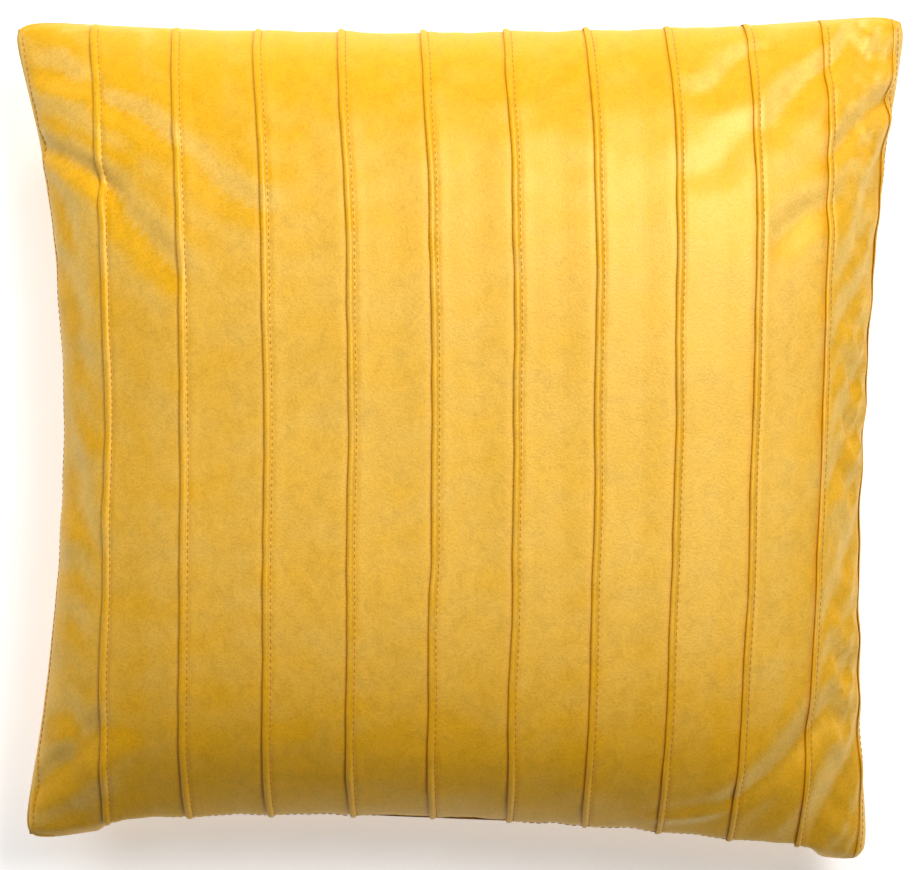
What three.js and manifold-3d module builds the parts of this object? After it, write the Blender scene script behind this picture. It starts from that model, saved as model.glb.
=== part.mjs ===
// Throw pillow: a velvet cover with pin tucks down its front and a zip in its lower seam, over a
// fibre-filled inner pad.
//
// Millimetres. The pillow lies on its back. +Z is up, out of the tucked front; +Y is towards the
// top edge; X runs across the tucks. The origin is on the resting surface, under the middle.
import * as THREE from "three";
import { mergeVertices } from "three/addons/utils/BufferGeometryUtils.js";
import Module from "manifold-3d";

const wasm = await Module();
wasm.setup();

// ---- driving sizes ----
const WIDTH = 452; // between the top corners, X, before they are rounded off
const LENGTH = 428; // between the right-hand corners, Y: the side seams gather the cloth a little
const SEAM_LEVEL = 50; // height of the seam above the resting surface
const FRONT_RISE = 68; // crown of the front above the seam
const BACK_DROP = 62; // crown of the back below the seam, before the surface flattens it
const CORNER_EASE = 3; // how far each corner is rounded off
const STITCH_CORNER_EASE = 2.5; // how much further in the seam's stitching turns each corner
const PLUMPNESS = 0.85; // below 1 the crown rises more steeply from the seam
const CLOTH = 1.5; // velvet with its backing
const PAD_EASE = 21; // how far the pad's edge lies inside the cover's edge
const PAD_CLOTH = 0.6; // non-woven case of the pad
const GAP = 0.4; // clearance between layers of cloth
const SEAM_GAP = 0.3; // clearance between the two panels where they are sewn
const TUCK_COUNT = 12;
const TUCK_PITCH_SHARE = 40 / 450; // a tuck every 40 mm on a cover cut 450 mm wide
const ZIP_FALL = 18.08; // how far the seam with the zip drops over the pillow's width
const THREAD = 0.8;
const CELLS = 16; // grid cells along each side of a cloth surface
const ZIP_COLUMNS = 4; // grid columns on each side of the middle that the zip's opening takes

// ---- outline: a slack square whose corners have settled unevenly ----
const corners = {
  topLeft: new THREE.Vector2(-WIDTH / 2, LENGTH / 2 - 3),
  topRight: new THREE.Vector2(WIDTH / 2, LENGTH / 2),
  bottomLeft: new THREE.Vector2(-WIDTH / 2 + 3, -LENGTH / 2 + 9),
  bottomRight: new THREE.Vector2(WIDTH / 2 - 18, -LENGTH / 2),
};
// How far the middle of each edge pulls in, and how much more so towards one end of it.
const bows = {
  left: { depth: 24, skew: 0.3 },
  right: { depth: 13, skew: 0 },
  top: { depth: 6, skew: 0.3 },
  bottom: { depth: 15, skew: -0.35 },
};

// ---- where the layers lie: how far each is inside the cover's edge, and inside its crown ----
const coverOutside = { side: 0, crown: 0 };
const coverInside = { side: CLOTH, crown: CLOTH };
const padOutside = { side: PAD_EASE, crown: CLOTH + GAP };
const padInside = { side: PAD_EASE + PAD_CLOTH, crown: CLOTH + GAP + PAD_CLOTH };
const fibreOutside = {
  side: padInside.side + GAP,
  crown: padInside.crown + GAP,
};

// ---- zip, in its own frame: X along the track, Y towards the front panel, Z out of the seam ----
const zip = {
  middle: -LENGTH / 2 + 28.3, // where the zip crosses the middle of the pillow, Y
  tilt: -ZIP_FALL / WIDTH, // the lower seam runs down a little towards the right, in radians
  opening: 10.4, // between the edges of the two panels
  lip: 4, // how far the edges of the panels stand out in front of the tapes
  chain: WIDTH * 0.664,
  slit: 1.3, // between the two rows of coil
  tapeWidth: 8.3,
  tapeThickness: 0.5,
  tapeOverrun: 6, // tape past each end of the coil
  coilWidth: 2.1,
  coilHeight: 1.5,
  clearance: 0.3,
};
const tapeTop = zip.tapeThickness / 2;
const coilBase = tapeTop + zip.clearance;
const coilTop = coilBase + zip.coilHeight;

const slider = {
  length: 9,
  noseWidth: 9.2,
  tailWidth: 8,
  plate: 1,
  wallInside: zip.slit / 2 + zip.coilWidth + 0.35, // half the channel that the coil runs in
  postThickness: 0.6,
  postLength: 2,
  bridgeLength: 6,
  bridgeWidth: 1.6,
  bridgeWindow: 3.6,
  bridgeClear: 1.7, // room under the bridge for the pull's bar
  bridgeThickness: 0.9,
};
const innerPlateTop = -tapeTop - zip.clearance;
const outerPlateBase = coilTop + 0.35;
const outerPlateTop = outerPlateBase + slider.plate;
const sliderRest = zip.chain / 2 - slider.length / 2;

const pull = {
  length: 18,
  width: 5.2,
  thickness: 1,
  bar: 1,
  eyeWidth: 2.8,
  eyeLength: 3.8,
  endRadius: 2.2,
};
const stop = { length: 2.4, reach: 2.4, height: 2.2 };

// ---- materials ----
const material = (name, colour, roughness, metalness = 0) =>
  new THREE.MeshStandardMaterial({ name, color: colour, roughness, metalness });
const velvet = () => material("velvet", 0xe8b424, 0.85);
const thread = () => material("thread", 0x9a6a16, 0.7);
const tapeCloth = () => material("zip_tape", 0xd9a62a, 0.8);
const coilNylon = () => material("zip_coil", 0xcf9a28, 0.5);
const zipMetal = () => material("zip_metal", 0xb9b4aa, 0.35, 1);
const padCloth = () => material("pad_cloth", 0xf1f0ec, 0.9);
const fibre = () => material("fibre", 0xfafaf7, 1);

const pillow = new THREE.Group();
pillow.name = "throw_pillow";

function add(parent, name, geometry, meshMaterial) {
  const mesh = new THREE.Mesh(geometry, meshMaterial);
  mesh.name = name;
  parent.add(mesh);
  return mesh;
}

// ---- the stuffed shape ----
// across and along run from -1 to 1 over the cloth; a quarter turn from the middle to each edge
// spaces the grid closely where the cloth curves down to the seam.
function plan(across, along, inset) {
  const u = Math.sin((across * Math.PI) / 2);
  const v = Math.sin((along * Math.PI) / 2);
  const { topLeft, topRight, bottomLeft, bottomRight } = corners;
  const between = THREE.MathUtils.lerp;
  const pull = (bow, t) => bow.depth * (1 - t * t) * (1 + bow.skew * t);
  const left = between(bottomLeft.x, topLeft.x, (v + 1) / 2) + pull(bows.left, v);
  const right = between(bottomRight.x, topRight.x, (v + 1) / 2) - pull(bows.right, v);
  const top = between(topLeft.y, topRight.y, (u + 1) / 2) - pull(bows.top, u);
  const bottom = between(bottomLeft.y, bottomRight.y, (u + 1) / 2) + pull(bows.bottom, u);
  const trim = inset + CORNER_EASE * (u * v) ** 10;
  return new THREE.Vector2(
    between(left + trim, right - trim, (u + 1) / 2),
    between(bottom + trim, top - trim, (v + 1) / 2),
  );
}

function crown(across, along) {
  const fall = Math.cos((across * Math.PI) / 2) * Math.cos((along * Math.PI) / 2);
  return Math.max(fall, 0) ** PLUMPNESS;
}

function frontPoint(across, along, layer) {
  const p = plan(across, along, layer.side);
  const rise = (FRONT_RISE - layer.crown) * crown(across, along);
  return new THREE.Vector3(p.x, p.y, SEAM_LEVEL + Math.max(SEAM_GAP / 2, rise));
}

function backPoint(across, along, layer) {
  const p = plan(across, along, layer.side);
  const drop = (BACK_DROP - layer.crown) * crown(across, along);
  const z = SEAM_LEVEL - Math.max(SEAM_GAP / 2, drop);
  return new THREE.Vector3(p.x, p.y, Math.max(z, layer.crown));
}

// The cover's panels part along the middle of the lower seam and turn in to the zip.
// away is 1 for the front panel and -1 for the back.
function turnedIn(point, away) {
  return (across, along, layer) => {
    const p = point(across, along, layer);
    const atLowerSeam = along < -1 + 0.5 / CELLS;
    const besideZip = Math.abs(across) * CELLS < 2 * ZIP_COLUMNS + 1;
    if (atLowerSeam && besideZip) {
      p.y = zip.middle + Math.tan(zip.tilt) * p.x - zip.lip + layer.side;
      p.z = SEAM_LEVEL + (away * zip.opening) / 2;
    }
    return p;
  };
}
const coverFrontPoint = turnedIn(frontPoint, 1);
const coverBackPoint = turnedIn(backPoint, -1);

// A box splits the cells of its upper and lower faces along opposite diagonals. This turns the
// lower face's diagonals round, so that layers of cloth nest without touching.
function matchDiagonals(g) {
  const lowerFace = g.groups[5];
  const index = g.index;
  for (let i = lowerFace.start; i < lowerFace.start + lowerFace.count; i += 6) {
    const [a, b, d, , c] = index.array.slice(i, i + 5);
    index.array.set([a, b, c, a, c, d], i);
  }
}

// A box of one thin layer of cells, each of whose corners is moved to where `place` puts it.
function mapped(cellsAcross, cellsAlong, place) {
  const g = new THREE.BoxGeometry(2, 2, 2, cellsAcross, cellsAlong, 1);
  matchDiagonals(g);
  const corners = g.getAttribute("position");
  for (let i = 0; i < corners.count; i++) {
    const p = place(corners.getX(i), corners.getY(i), corners.getZ(i) > 0);
    corners.setXYZ(i, p.x, p.y, p.z);
  }
  g.deleteAttribute("normal");
  g.deleteAttribute("uv");
  return mergeVertices(g, 1e-4);
}

function frontCloth(point, outside, inside) {
  return mapped(CELLS, CELLS, (across, along, upper) =>
    point(across, along, upper ? outside : inside),
  );
}

function backCloth(point, outside, inside) {
  return mapped(CELLS, CELLS, (across, along, upper) =>
    point(across, along, upper ? inside : outside),
  );
}

// ---- cover: two velvet panels ----
add(pillow, "cover_front", frontCloth(coverFrontPoint, coverOutside, coverInside), velvet());
add(pillow, "cover_back", backCloth(coverBackPoint, coverOutside, coverInside), velvet());

// ---- inner pad: a two-piece case and its filling ----
add(pillow, "pad_case_front", frontCloth(frontPoint, padOutside, padInside), padCloth());
add(pillow, "pad_case_back", backCloth(backPoint, padOutside, padInside), padCloth());
const filling = mapped(CELLS, CELLS, (across, along, upper) =>
  upper ? frontPoint(across, along, fibreOutside) : backPoint(across, along, fibreOutside),
);
add(pillow, "fibre_fill", filling, fibre());

// ---- tuck stitching: a row of thread along the base of each pin tuck ----
// Cloth used up from the middle of the front to a given place, at mid-height.
function clothAcross(across) {
  const steps = 200;
  let used = 0;
  let from = frontPoint(0, 0, coverOutside);
  for (let i = 1; i <= steps; i++) {
    const to = frontPoint((across * i) / steps, 0, coverOutside);
    used += from.distanceTo(to);
    from = to;
  }
  return used;
}

// Where, from -1 to 1, a given share of the cloth's whole width lies from the middle.
function acrossAt(share) {
  const wanted = Math.abs(share) * 2 * clothAcross(1);
  let low = 0;
  let high = 1;
  for (let i = 0; i < 24; i++) {
    const middle = (low + high) / 2;
    if (clothAcross(middle) < wanted) low = middle;
    else high = middle;
  }
  return Math.sign(share) * low;
}

function offFront(across, along, distance) {
  const step = 0.004;
  const at = (a, b) => frontPoint(a, b, coverOutside);
  const rightward = at(across + step, along).sub(at(across - step, along));
  const upward = at(across, along + step).sub(at(across, along - step));
  const normal = rightward.cross(upward).normalize();
  return at(across, along).addScaledVector(normal, distance);
}

function tuckStitching(across) {
  const end = 1 - 2 / CELLS;
  const halfWidth = THREAD / WIDTH;
  return mapped(1, CELLS - 2, (side, along, upper) =>
    offFront(across + side * halfWidth, along * end, upper ? GAP + THREAD : GAP),
  );
}

for (let i = 0; i < TUCK_COUNT; i++) {
  const share = (i - (TUCK_COUNT - 1) / 2) * TUCK_PITCH_SHARE;
  const name = "tuck_stitching_" + String(i + 1).padStart(2, "0");
  add(pillow, name, tuckStitching(acrossAt(share)), thread());
}

// ---- seam thread ----
// A place on the rim: turn 0 to 1 goes up the left edge, then along the top, down the right, back.
// cornerEase is how much further in a corner is rounded off than the cloth's own edge.
function rimPoint(turn, inset, level, cornerEase = 0) {
  const side = Math.min(Math.floor(turn), 3);
  const t = 2 * (turn - side) - 1;
  const [across, along] = [[-1, t], [t, 1], [1, -t], [-t, -1]][side];
  const nearCorner = Math.sin((t * Math.PI) / 2) ** 10;
  const p = plan(across, along, inset + cornerEase * nearCorner);
  return new THREE.Vector3(p.x, p.y, SEAM_LEVEL + level);
}

// The cover is sewn on three sides; the zip closes the fourth.
const coverSeam = mapped(3 * CELLS, 1, (x, y, upper) => {
  const inset = CLOTH + 2 - (y * THREAD) / 2;
  return rimPoint(1.5 * (x + 1), inset, upper ? THREAD / 2 : -THREAD / 2, STITCH_CORNER_EASE);
});
add(pillow, "cover_seam_stitching", coverSeam, thread());

// The pad is sewn all the way round.
function padSeam() {
  const middle = PAD_EASE - GAP - THREAD / 2;
  const g = new THREE.TorusGeometry(1, 0.5, 4, 4 * CELLS);
  const corners = g.getAttribute("position");
  const uv = g.getAttribute("uv");
  for (let i = 0; i < corners.count; i++) {
    const angle = uv.getY(i) * 2 * Math.PI;
    const outward = (Math.cos(angle) * THREAD) / 2;
    const level = (Math.sin(angle) * THREAD) / 2;
    const p = rimPoint(4 * (1 - uv.getX(i)), middle - outward, level);
    corners.setXYZ(i, p.x, p.y, p.z);
  }
  return g;
}
add(pillow, "pad_seam_stitching", padSeam(), padCloth());

// ---- zip stitching: holds each tape to the edge of its panel ----
// edgeward is 1 where the strip's upper face is the one nearer the zip.
function zipStitching(point, edgeward) {
  const firstRow = -1 + 2 / CELLS;
  const fromEdge = 0.25;
  const halfWidth = 0.03;
  return mapped(2 * ZIP_COLUMNS, 1, (x, y, upper) => {
    const across = (x * 2 * ZIP_COLUMNS) / CELLS;
    const side = upper ? -edgeward : edgeward;
    const edge = point(across, -1, coverOutside);
    const p = edge.lerp(point(across, firstRow, coverOutside), fromEdge + side * halfWidth);
    p.y -= y < 0 ? 3 * GAP + THREAD : 3 * GAP;
    return p;
  });
}
add(pillow, "zip_stitching_front", zipStitching(coverFrontPoint, -1), thread());
add(pillow, "zip_stitching_back", zipStitching(coverBackPoint, 1), thread());

// ---- zip ----
const seamLine = new THREE.Group();
seamLine.position.set(0, zip.middle, SEAM_LEVEL);
seamLine.rotation.z = zip.tilt;
pillow.add(seamLine);
const zipGroup = new THREE.Group();
zipGroup.rotation.x = Math.PI / 2;
seamLine.add(zipGroup);

function box(sizeX, sizeY, sizeZ, x, y, z) {
  return new THREE.BoxGeometry(sizeX, sizeY, sizeZ).translate(x, y, z);
}

function solid(geometry) {
  const g = geometry.clone();
  g.deleteAttribute("normal");
  g.deleteAttribute("uv");
  const merged = mergeVertices(g, 1e-4);
  return new wasm.Manifold(
    new wasm.Mesh({
      numProp: 3,
      vertProperties: new Float32Array(merged.getAttribute("position").array),
      triVerts: new Uint32Array(merged.index.array),
    }),
  );
}

function geometryOf(manifold) {
  const made = manifold.getMesh();
  const g = new THREE.BufferGeometry();
  g.setAttribute("position", new THREE.BufferAttribute(made.vertProperties, 3));
  g.setIndex(new THREE.BufferAttribute(made.triVerts, 1));
  return g;
}

function tape(side) {
  const length = zip.chain + 2 * zip.tapeOverrun;
  const y = side * (zip.slit / 2 + zip.tapeWidth / 2);
  return box(length, zip.tapeWidth, zip.tapeThickness, 0, y, 0);
}

function coil(side) {
  const g = new THREE.CylinderGeometry(0.5, 0.5, zip.chain, 8);
  g.rotateZ(Math.PI / 2);
  g.scale(1, zip.coilWidth, zip.coilHeight);
  return g.translate(0, side * (zip.slit + zip.coilWidth) * 0.5, coilBase + zip.coilHeight / 2);
}

// A clamp folded over the inner edge of one tape, just past the end of the coil.
function topStop(side) {
  const x = zip.chain / 2 + zip.clearance + stop.length / 2;
  const inner = 0.3;
  const y = side * (inner + stop.reach / 2);
  const slotY = side * (inner + 0.1 + stop.reach);
  const clamp = solid(box(stop.length, stop.reach, stop.height, x, y, 0));
  const slot = solid(box(stop.length * 2, stop.reach * 2, 2 * coilBase, x, slotY, 0));
  return geometryOf(clamp.subtract(slot));
}

// One clamp over both tapes, which keeps the open end of the zip together.
function bottomStop() {
  const x = -zip.chain / 2 - zip.clearance - stop.length / 2;
  let clamp = solid(box(stop.length, 2 * stop.reach + 1, stop.height, x, 0, 0));
  for (const side of [-1, 1]) {
    const slotY = side * (zip.slit / 2 - 0.25 + stop.reach);
    const slot = box(stop.length * 2, stop.reach * 2, 2 * coilBase, x, slotY, 0);
    clamp = clamp.subtract(solid(slot));
  }
  return geometryOf(clamp);
}

// Two plates joined by a post at the nose, with walls that guide the coil and a bridge on top.
function sliderBody() {
  const half = slider.length / 2;
  const outline = new THREE.Shape();
  outline.moveTo(-half, -slider.tailWidth / 2);
  outline.lineTo(half - 1.5, -slider.noseWidth / 2);
  outline.lineTo(half, -slider.noseWidth / 2 + 1.5);
  outline.lineTo(half, slider.noseWidth / 2 - 1.5);
  outline.lineTo(half - 1.5, slider.noseWidth / 2);
  outline.lineTo(-half, slider.tailWidth / 2);
  const base = innerPlateTop - slider.plate;
  const block = new THREE.ExtrudeGeometry(outline, {
    depth: outerPlateTop - base,
    bevelEnabled: false,
  }).translate(0, 0, base);
  const through = slider.length * 2;
  const channelHeight = outerPlateBase - innerPlateTop;
  const channelZ = (outerPlateBase + innerPlateTop) / 2;
  const channel = box(through, 2 * slider.wallInside, channelHeight, 0, 0, channelZ);
  const tapeSlot = box(through, 2 * slider.noseWidth, -2 * innerPlateTop, 0, 0, 0);
  const post = box(
    slider.postLength,
    slider.postThickness,
    channelHeight + slider.plate,
    half - slider.postLength,
    0,
    channelZ,
  );
  const bridgeHeight = slider.bridgeClear + slider.bridgeThickness;
  const sunk = slider.plate / 2;
  const bridge = box(
    slider.bridgeLength,
    slider.bridgeWidth,
    bridgeHeight + sunk,
    0,
    0,
    outerPlateTop + (bridgeHeight - sunk) / 2,
  );
  const window = box(
    slider.bridgeWindow,
    slider.bridgeWidth * 2,
    slider.bridgeClear,
    0,
    0,
    outerPlateTop + slider.bridgeClear / 2,
  );
  const body = solid(block)
    .subtract(solid(channel))
    .subtract(solid(tapeSlot))
    .add(solid(post))
    .add(solid(bridge))
    .subtract(solid(window));
  return geometryOf(body).translate(sliderRest, 0, 0);
}

// A flat tab with an eye, whose bar turns under the slider's bridge. It lies back along the zip.
function pullTab() {
  const tip = pull.bar / 2 - pull.length;
  const half = pull.width / 2;
  const cut = pull.endRadius;
  const outline = new THREE.Shape();
  outline.moveTo(pull.bar / 2, -half);
  outline.lineTo(pull.bar / 2, half);
  outline.lineTo(tip + cut, half);
  outline.absarc(tip + cut, half - cut, cut, Math.PI / 2, Math.PI, false);
  outline.absarc(tip + cut, cut - half, cut, Math.PI, Math.PI * 1.5, false);
  const eyeEnd = -pull.bar / 2 - pull.eyeLength;
  outline.holes.push(
    new THREE.Path([
      new THREE.Vector2(-pull.bar / 2, -pull.eyeWidth / 2),
      new THREE.Vector2(eyeEnd, -pull.eyeWidth / 2),
      new THREE.Vector2(eyeEnd, pull.eyeWidth / 2),
      new THREE.Vector2(-pull.bar / 2, pull.eyeWidth / 2),
    ]),
  );
  const g = new THREE.ExtrudeGeometry(outline, {
    depth: pull.thickness,
    curveSegments: 6,
    bevelEnabled: false,
  });
  const barLevel = outerPlateTop + slider.bridgeClear / 2;
  return g.translate(sliderRest, 0, barLevel - pull.thickness / 2);
}

add(zipGroup, "zip_tape_front", tape(1), tapeCloth());
add(zipGroup, "zip_tape_back", tape(-1), tapeCloth());
add(zipGroup, "zip_coil_front", coil(1), coilNylon());
add(zipGroup, "zip_coil_back", coil(-1), coilNylon());
add(zipGroup, "zip_top_stop_front", topStop(1), zipMetal());
add(zipGroup, "zip_top_stop_back", topStop(-1), zipMetal());
add(zipGroup, "zip_bottom_stop", bottomStop(), zipMetal());
add(zipGroup, "zip_slider", sliderBody(), zipMetal());
add(zipGroup, "zip_pull", pullTab(), zipMetal());

export default pillow;
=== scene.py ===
import math

import bpy
import numpy as np
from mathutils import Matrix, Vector


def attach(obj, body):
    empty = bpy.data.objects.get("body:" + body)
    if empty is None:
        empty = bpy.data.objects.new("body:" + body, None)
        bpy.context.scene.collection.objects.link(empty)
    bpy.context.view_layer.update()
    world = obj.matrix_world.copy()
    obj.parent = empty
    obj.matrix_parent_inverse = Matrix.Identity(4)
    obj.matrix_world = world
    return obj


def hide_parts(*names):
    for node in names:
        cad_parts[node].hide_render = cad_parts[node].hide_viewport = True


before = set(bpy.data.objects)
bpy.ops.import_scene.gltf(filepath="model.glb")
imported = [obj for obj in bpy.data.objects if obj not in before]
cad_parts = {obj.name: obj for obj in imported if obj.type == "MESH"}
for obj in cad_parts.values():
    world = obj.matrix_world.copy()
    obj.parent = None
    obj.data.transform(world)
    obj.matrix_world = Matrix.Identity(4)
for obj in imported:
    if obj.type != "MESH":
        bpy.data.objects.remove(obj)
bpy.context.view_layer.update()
bpy.ops.object.select_all(action="DESELECT")

# ---- sizes, in millimetres ----
MM = 0.001
HALF_CLOTH = 225.0  # half the side of the flat cover
WIDTH = 452.0  # between the top corners, before they are rounded off
LENGTH = 428.0  # between the right-hand corners
SEAM_LEVEL = 50.0  # height of the outline seam above the floor
CORNER_EASE = 6.0  # how much each corner is rounded off
VELVET = 1.2  # thickness of the cloth

TUCKS = 12
TUCK_PITCH = 40.0

ZIP_MIDDLE = -LENGTH / 2 + 28.3  # where the zip crosses the middle of the pillow
ZIP_TILT = -0.04  # radians
ZIP_OPENING = 10.4  # between the two lips of the cover
ZIP_LIP = 4.0  # how far the lips stand out past the zip
ZIP_CHAIN = WIDTH * 0.664
ZIP_SLIT = 1.3  # between the two coils
COIL_WIDTH = 2.1
COIL_HEIGHT = 1.5
TAPE_THICKNESS = 0.5

CORNERS = {
    "top left": (-WIDTH / 2 - 3, LENGTH / 2 - 1.5),
    "top right": (WIDTH / 2 + 2, LENGTH / 2 + 2),
    "bottom left": (-WIDTH / 2 + 3, -LENGTH / 2 + 9),
    "bottom right": (WIDTH / 2 - 18, -LENGTH / 2 - 2),
}
# How far the middle of each edge pulls in, and how much more so towards one end of it.
BOWS = {"left": (28, 0.15), "right": (18, 0), "top": (10.5, 0.1), "bottom": (21, -0.15)}

# ---- camera: straight above the pillow ----
CAMERA_HEIGHT = 1.5  # in metres, as are the camera and the lights
FRAME_WIDTH = 0.464  # how much of the seam's level the camera takes in, left to right
camera_data = bpy.data.cameras.new("camera")
camera_data.sensor_width = 36
camera_data.lens = camera_data.sensor_width * (CAMERA_HEIGHT - SEAM_LEVEL * MM) / FRAME_WIDTH
camera = bpy.data.objects.new("camera", camera_data)
camera.location = (0, 0.002, CAMERA_HEIGHT)
bpy.context.scene.collection.objects.link(camera)
bpy.context.scene.camera = camera


# ---- helpers ----
def smooth(t):
    """0 below 0, 1 above 1, and an even turn between."""
    t = np.clip(t, 0, 1)
    return t * t * (3 - 2 * t)


WAVE_POWER = 0.29  # mean square of one wave whose height is drawn between 0.5 and 1


def waver(x, seed, longest, shortest, waves=7):
    """A smooth random line along x, of about unit size, with waves between two lengths."""
    draw = np.random.RandomState(seed)
    total = np.zeros_like(x, dtype=float)
    for _ in range(waves):
        wave = math.exp(draw.uniform(math.log(shortest), math.log(longest)))
        total += draw.uniform(0.5, 1) * np.sin(2 * math.pi * x / wave + draw.uniform(0, 7))
    return total / math.sqrt(waves * WAVE_POWER)


def ripple(x, y, seed, longest, shortest, waves=14):
    """The same over x and y, with its waves running every way."""
    draw = np.random.RandomState(seed)
    total = np.zeros_like(x, dtype=float)
    for _ in range(waves):
        wave = math.exp(draw.uniform(math.log(shortest), math.log(longest)))
        way = draw.uniform(-math.pi, math.pi)
        along = x * math.cos(way) + y * math.sin(way)
        total += draw.uniform(0.5, 1) * np.sin(2 * math.pi * along / wave + draw.uniform(0, 7))
    return total / math.sqrt(waves * WAVE_POWER)


# ---- outline ----
def plan(u, v):
    """Where a place on the stuffed cover lies, seen from above. u and v run from -1 to 1."""
    def along(a, b, t):
        return a + (b - a) * (t + 1) / 2

    def pull(edge, t):
        depth, skew = BOWS[edge]
        return depth * (1 - t * t) * (1 + skew * t)

    left = along(CORNERS["bottom left"][0], CORNERS["top left"][0], v) + pull("left", v)
    right = along(CORNERS["bottom right"][0], CORNERS["top right"][0], v) - pull("right", v)
    top = along(CORNERS["top left"][1], CORNERS["top right"][1], u) - pull("top", u)
    bottom = along(CORNERS["bottom left"][1], CORNERS["bottom right"][1], u) + pull("bottom", u)
    ease = CORNER_EASE * (u * v) ** 24  # felt at the corners only
    return along(left + ease, right - ease, u), along(bottom + ease, top - ease, v)


def seam_height(x, y):
    """The seam wavers, and sinks a little towards the corners."""
    corner = np.abs(x * y) / HALF_CLOTH**2
    return SEAM_LEVEL - 5 * corner**3 + 0.5 * ripple(x, y, 5, 60, 22, 9)


# ---- the stuffed shape, by cloth simulation ----
CELLS = 96  # cells along each side of each panel while it is stuffed
RISE = 61.0  # how far each panel first stands off the seam's level
SPREAD = 0.13  # how much the middle of the cloth takes up of what the edges gather
CLOTH_SLIDE = {"top": 0.02, "bottom": 0.07}  # the velvet sits a little to the right
FILL_LITRES = 14.4
SIMULATION_SCALE = 4.0  # the solver is steadier on a larger cover
FRAMES = 32
CLOTH_SETTINGS = {
    "quality": 6,
    "mass": 0.3,
    "tension_stiffness": 40,
    "compression_stiffness": 30,
    "shear_stiffness": 6,
    "bending_stiffness": 0.6,
    "tension_damping": 25,
    "compression_damping": 25,
    "shear_damping": 25,
    "air_damping": 8,
    "use_pressure": True,
    "uniform_pressure_force": 0,
    "use_pressure_volume": True,
    "target_volume": FILL_LITRES * 0.001 * SIMULATION_SCALE**3,
    "pressure_factor": 14,
}


def cloth_blank(name, columns, rows):
    """A thin closed sheet of columns by rows cells, -1 to 1 each way, lower face at 0, upper at 1."""
    bpy.ops.mesh.primitive_grid_add(x_subdivisions=columns, y_subdivisions=rows, size=2)
    blank = bpy.context.object
    blank.name = blank.data.name = name
    bpy.ops.object.mode_set(mode="EDIT")
    bpy.ops.mesh.select_all(action="SELECT")
    bpy.ops.mesh.extrude_region_move(TRANSFORM_OT_translate={"value": (0, 0, 1)})
    bpy.ops.mesh.select_all(action="SELECT")
    bpy.ops.mesh.normals_make_consistent(inside=False)
    bpy.ops.object.mode_set(mode="OBJECT")
    return blank


def places(obj):
    """The vertices' places, one row each."""
    co = np.empty(len(obj.data.vertices) * 3)
    obj.data.vertices.foreach_get("co", co)
    return co.reshape(-1, 3)


def move_to(obj, points):
    """Puts the vertices at points, in millimetres."""
    obj.data.vertices.foreach_set("co", (np.asarray(points) * MM).ravel())
    obj.data.update()


def crowned(s, t, side):
    """A first guess at the stuffed cover, from places on the flat cloth."""
    slide = CLOTH_SLIDE["top"] + (CLOTH_SLIDE["bottom"] - CLOTH_SLIDE["top"]) * (1 - t) / 2
    u = s * (1 + SPREAD * (1 - s**8) * (1 - t * t)) + slide * (1 - s * s)
    v = t * (1 + SPREAD * (1 - t**8) * (1 - s * s))
    x, y = plan(u, v)
    crown = np.clip((1 - s**4) * (1 - t**4), 0, 1) ** 0.75
    z = seam_height(s * HALF_CLOTH, t * HALF_CLOTH) + side * RISE * crown
    unevenness = 0.4 * ripple(s * HALF_CLOTH, t * HALF_CLOTH, 11 + side, 50, 20, 16)
    return np.stack([x, y, z + unevenness * 4 * crown * (1 - crown)], -1)


def grid_quads(number, order):
    """The faces of a grid of numbered vertices, their corners in the given order."""
    corners = [number[:-1, :-1], number[1:, :-1], number[1:, 1:], number[:-1, 1:]]
    return np.stack([corners[k] for k in order], -1).reshape(-1, 4)


def blown_up(start, flat, faces, seam):
    """Where the vertices of a cover end up: cut flat, laid at start, held at its seam, filled."""
    scale = MM * SIMULATION_SCALE
    mesh = bpy.data.meshes.new("stuffing")
    mesh.from_pydata((start * scale).tolist(), [], faces.tolist())
    cover = bpy.data.objects.new("stuffing", mesh)
    bpy.context.scene.collection.objects.link(cover)
    bpy.context.view_layer.objects.active = cover
    cover.shape_key_add(name="stuffed")
    cut = cover.shape_key_add(name="flat")
    cut.data.foreach_set("co", (flat * scale).ravel())
    held = cover.vertex_groups.new(name="seam")
    held.add([int(i) for i in seam], 1.0, "REPLACE")
    cloth = cover.modifiers.new("cloth", "CLOTH")
    cloth.settings.rest_shape_key = cut
    cloth.settings.vertex_group_mass = "seam"
    for name, value in CLOTH_SETTINGS.items():
        setattr(cloth.settings, name, value)
    cloth.settings.effector_weights.gravity = 0
    cloth.collision_settings.use_collision = False
    cloth.point_cache.frame_start = 1
    cloth.point_cache.frame_end = FRAMES
    for frame_number in range(1, FRAMES + 1):
        bpy.context.scene.frame_set(frame_number)
    shaped = cover.evaluated_get(bpy.context.evaluated_depsgraph_get()).to_mesh()
    co = np.empty(len(shaped.vertices) * 3)
    shaped.vertices.foreach_get("co", co)
    bpy.data.objects.remove(cover)
    bpy.context.scene.frame_set(1)
    return co.reshape(-1, 3) / scale


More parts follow.
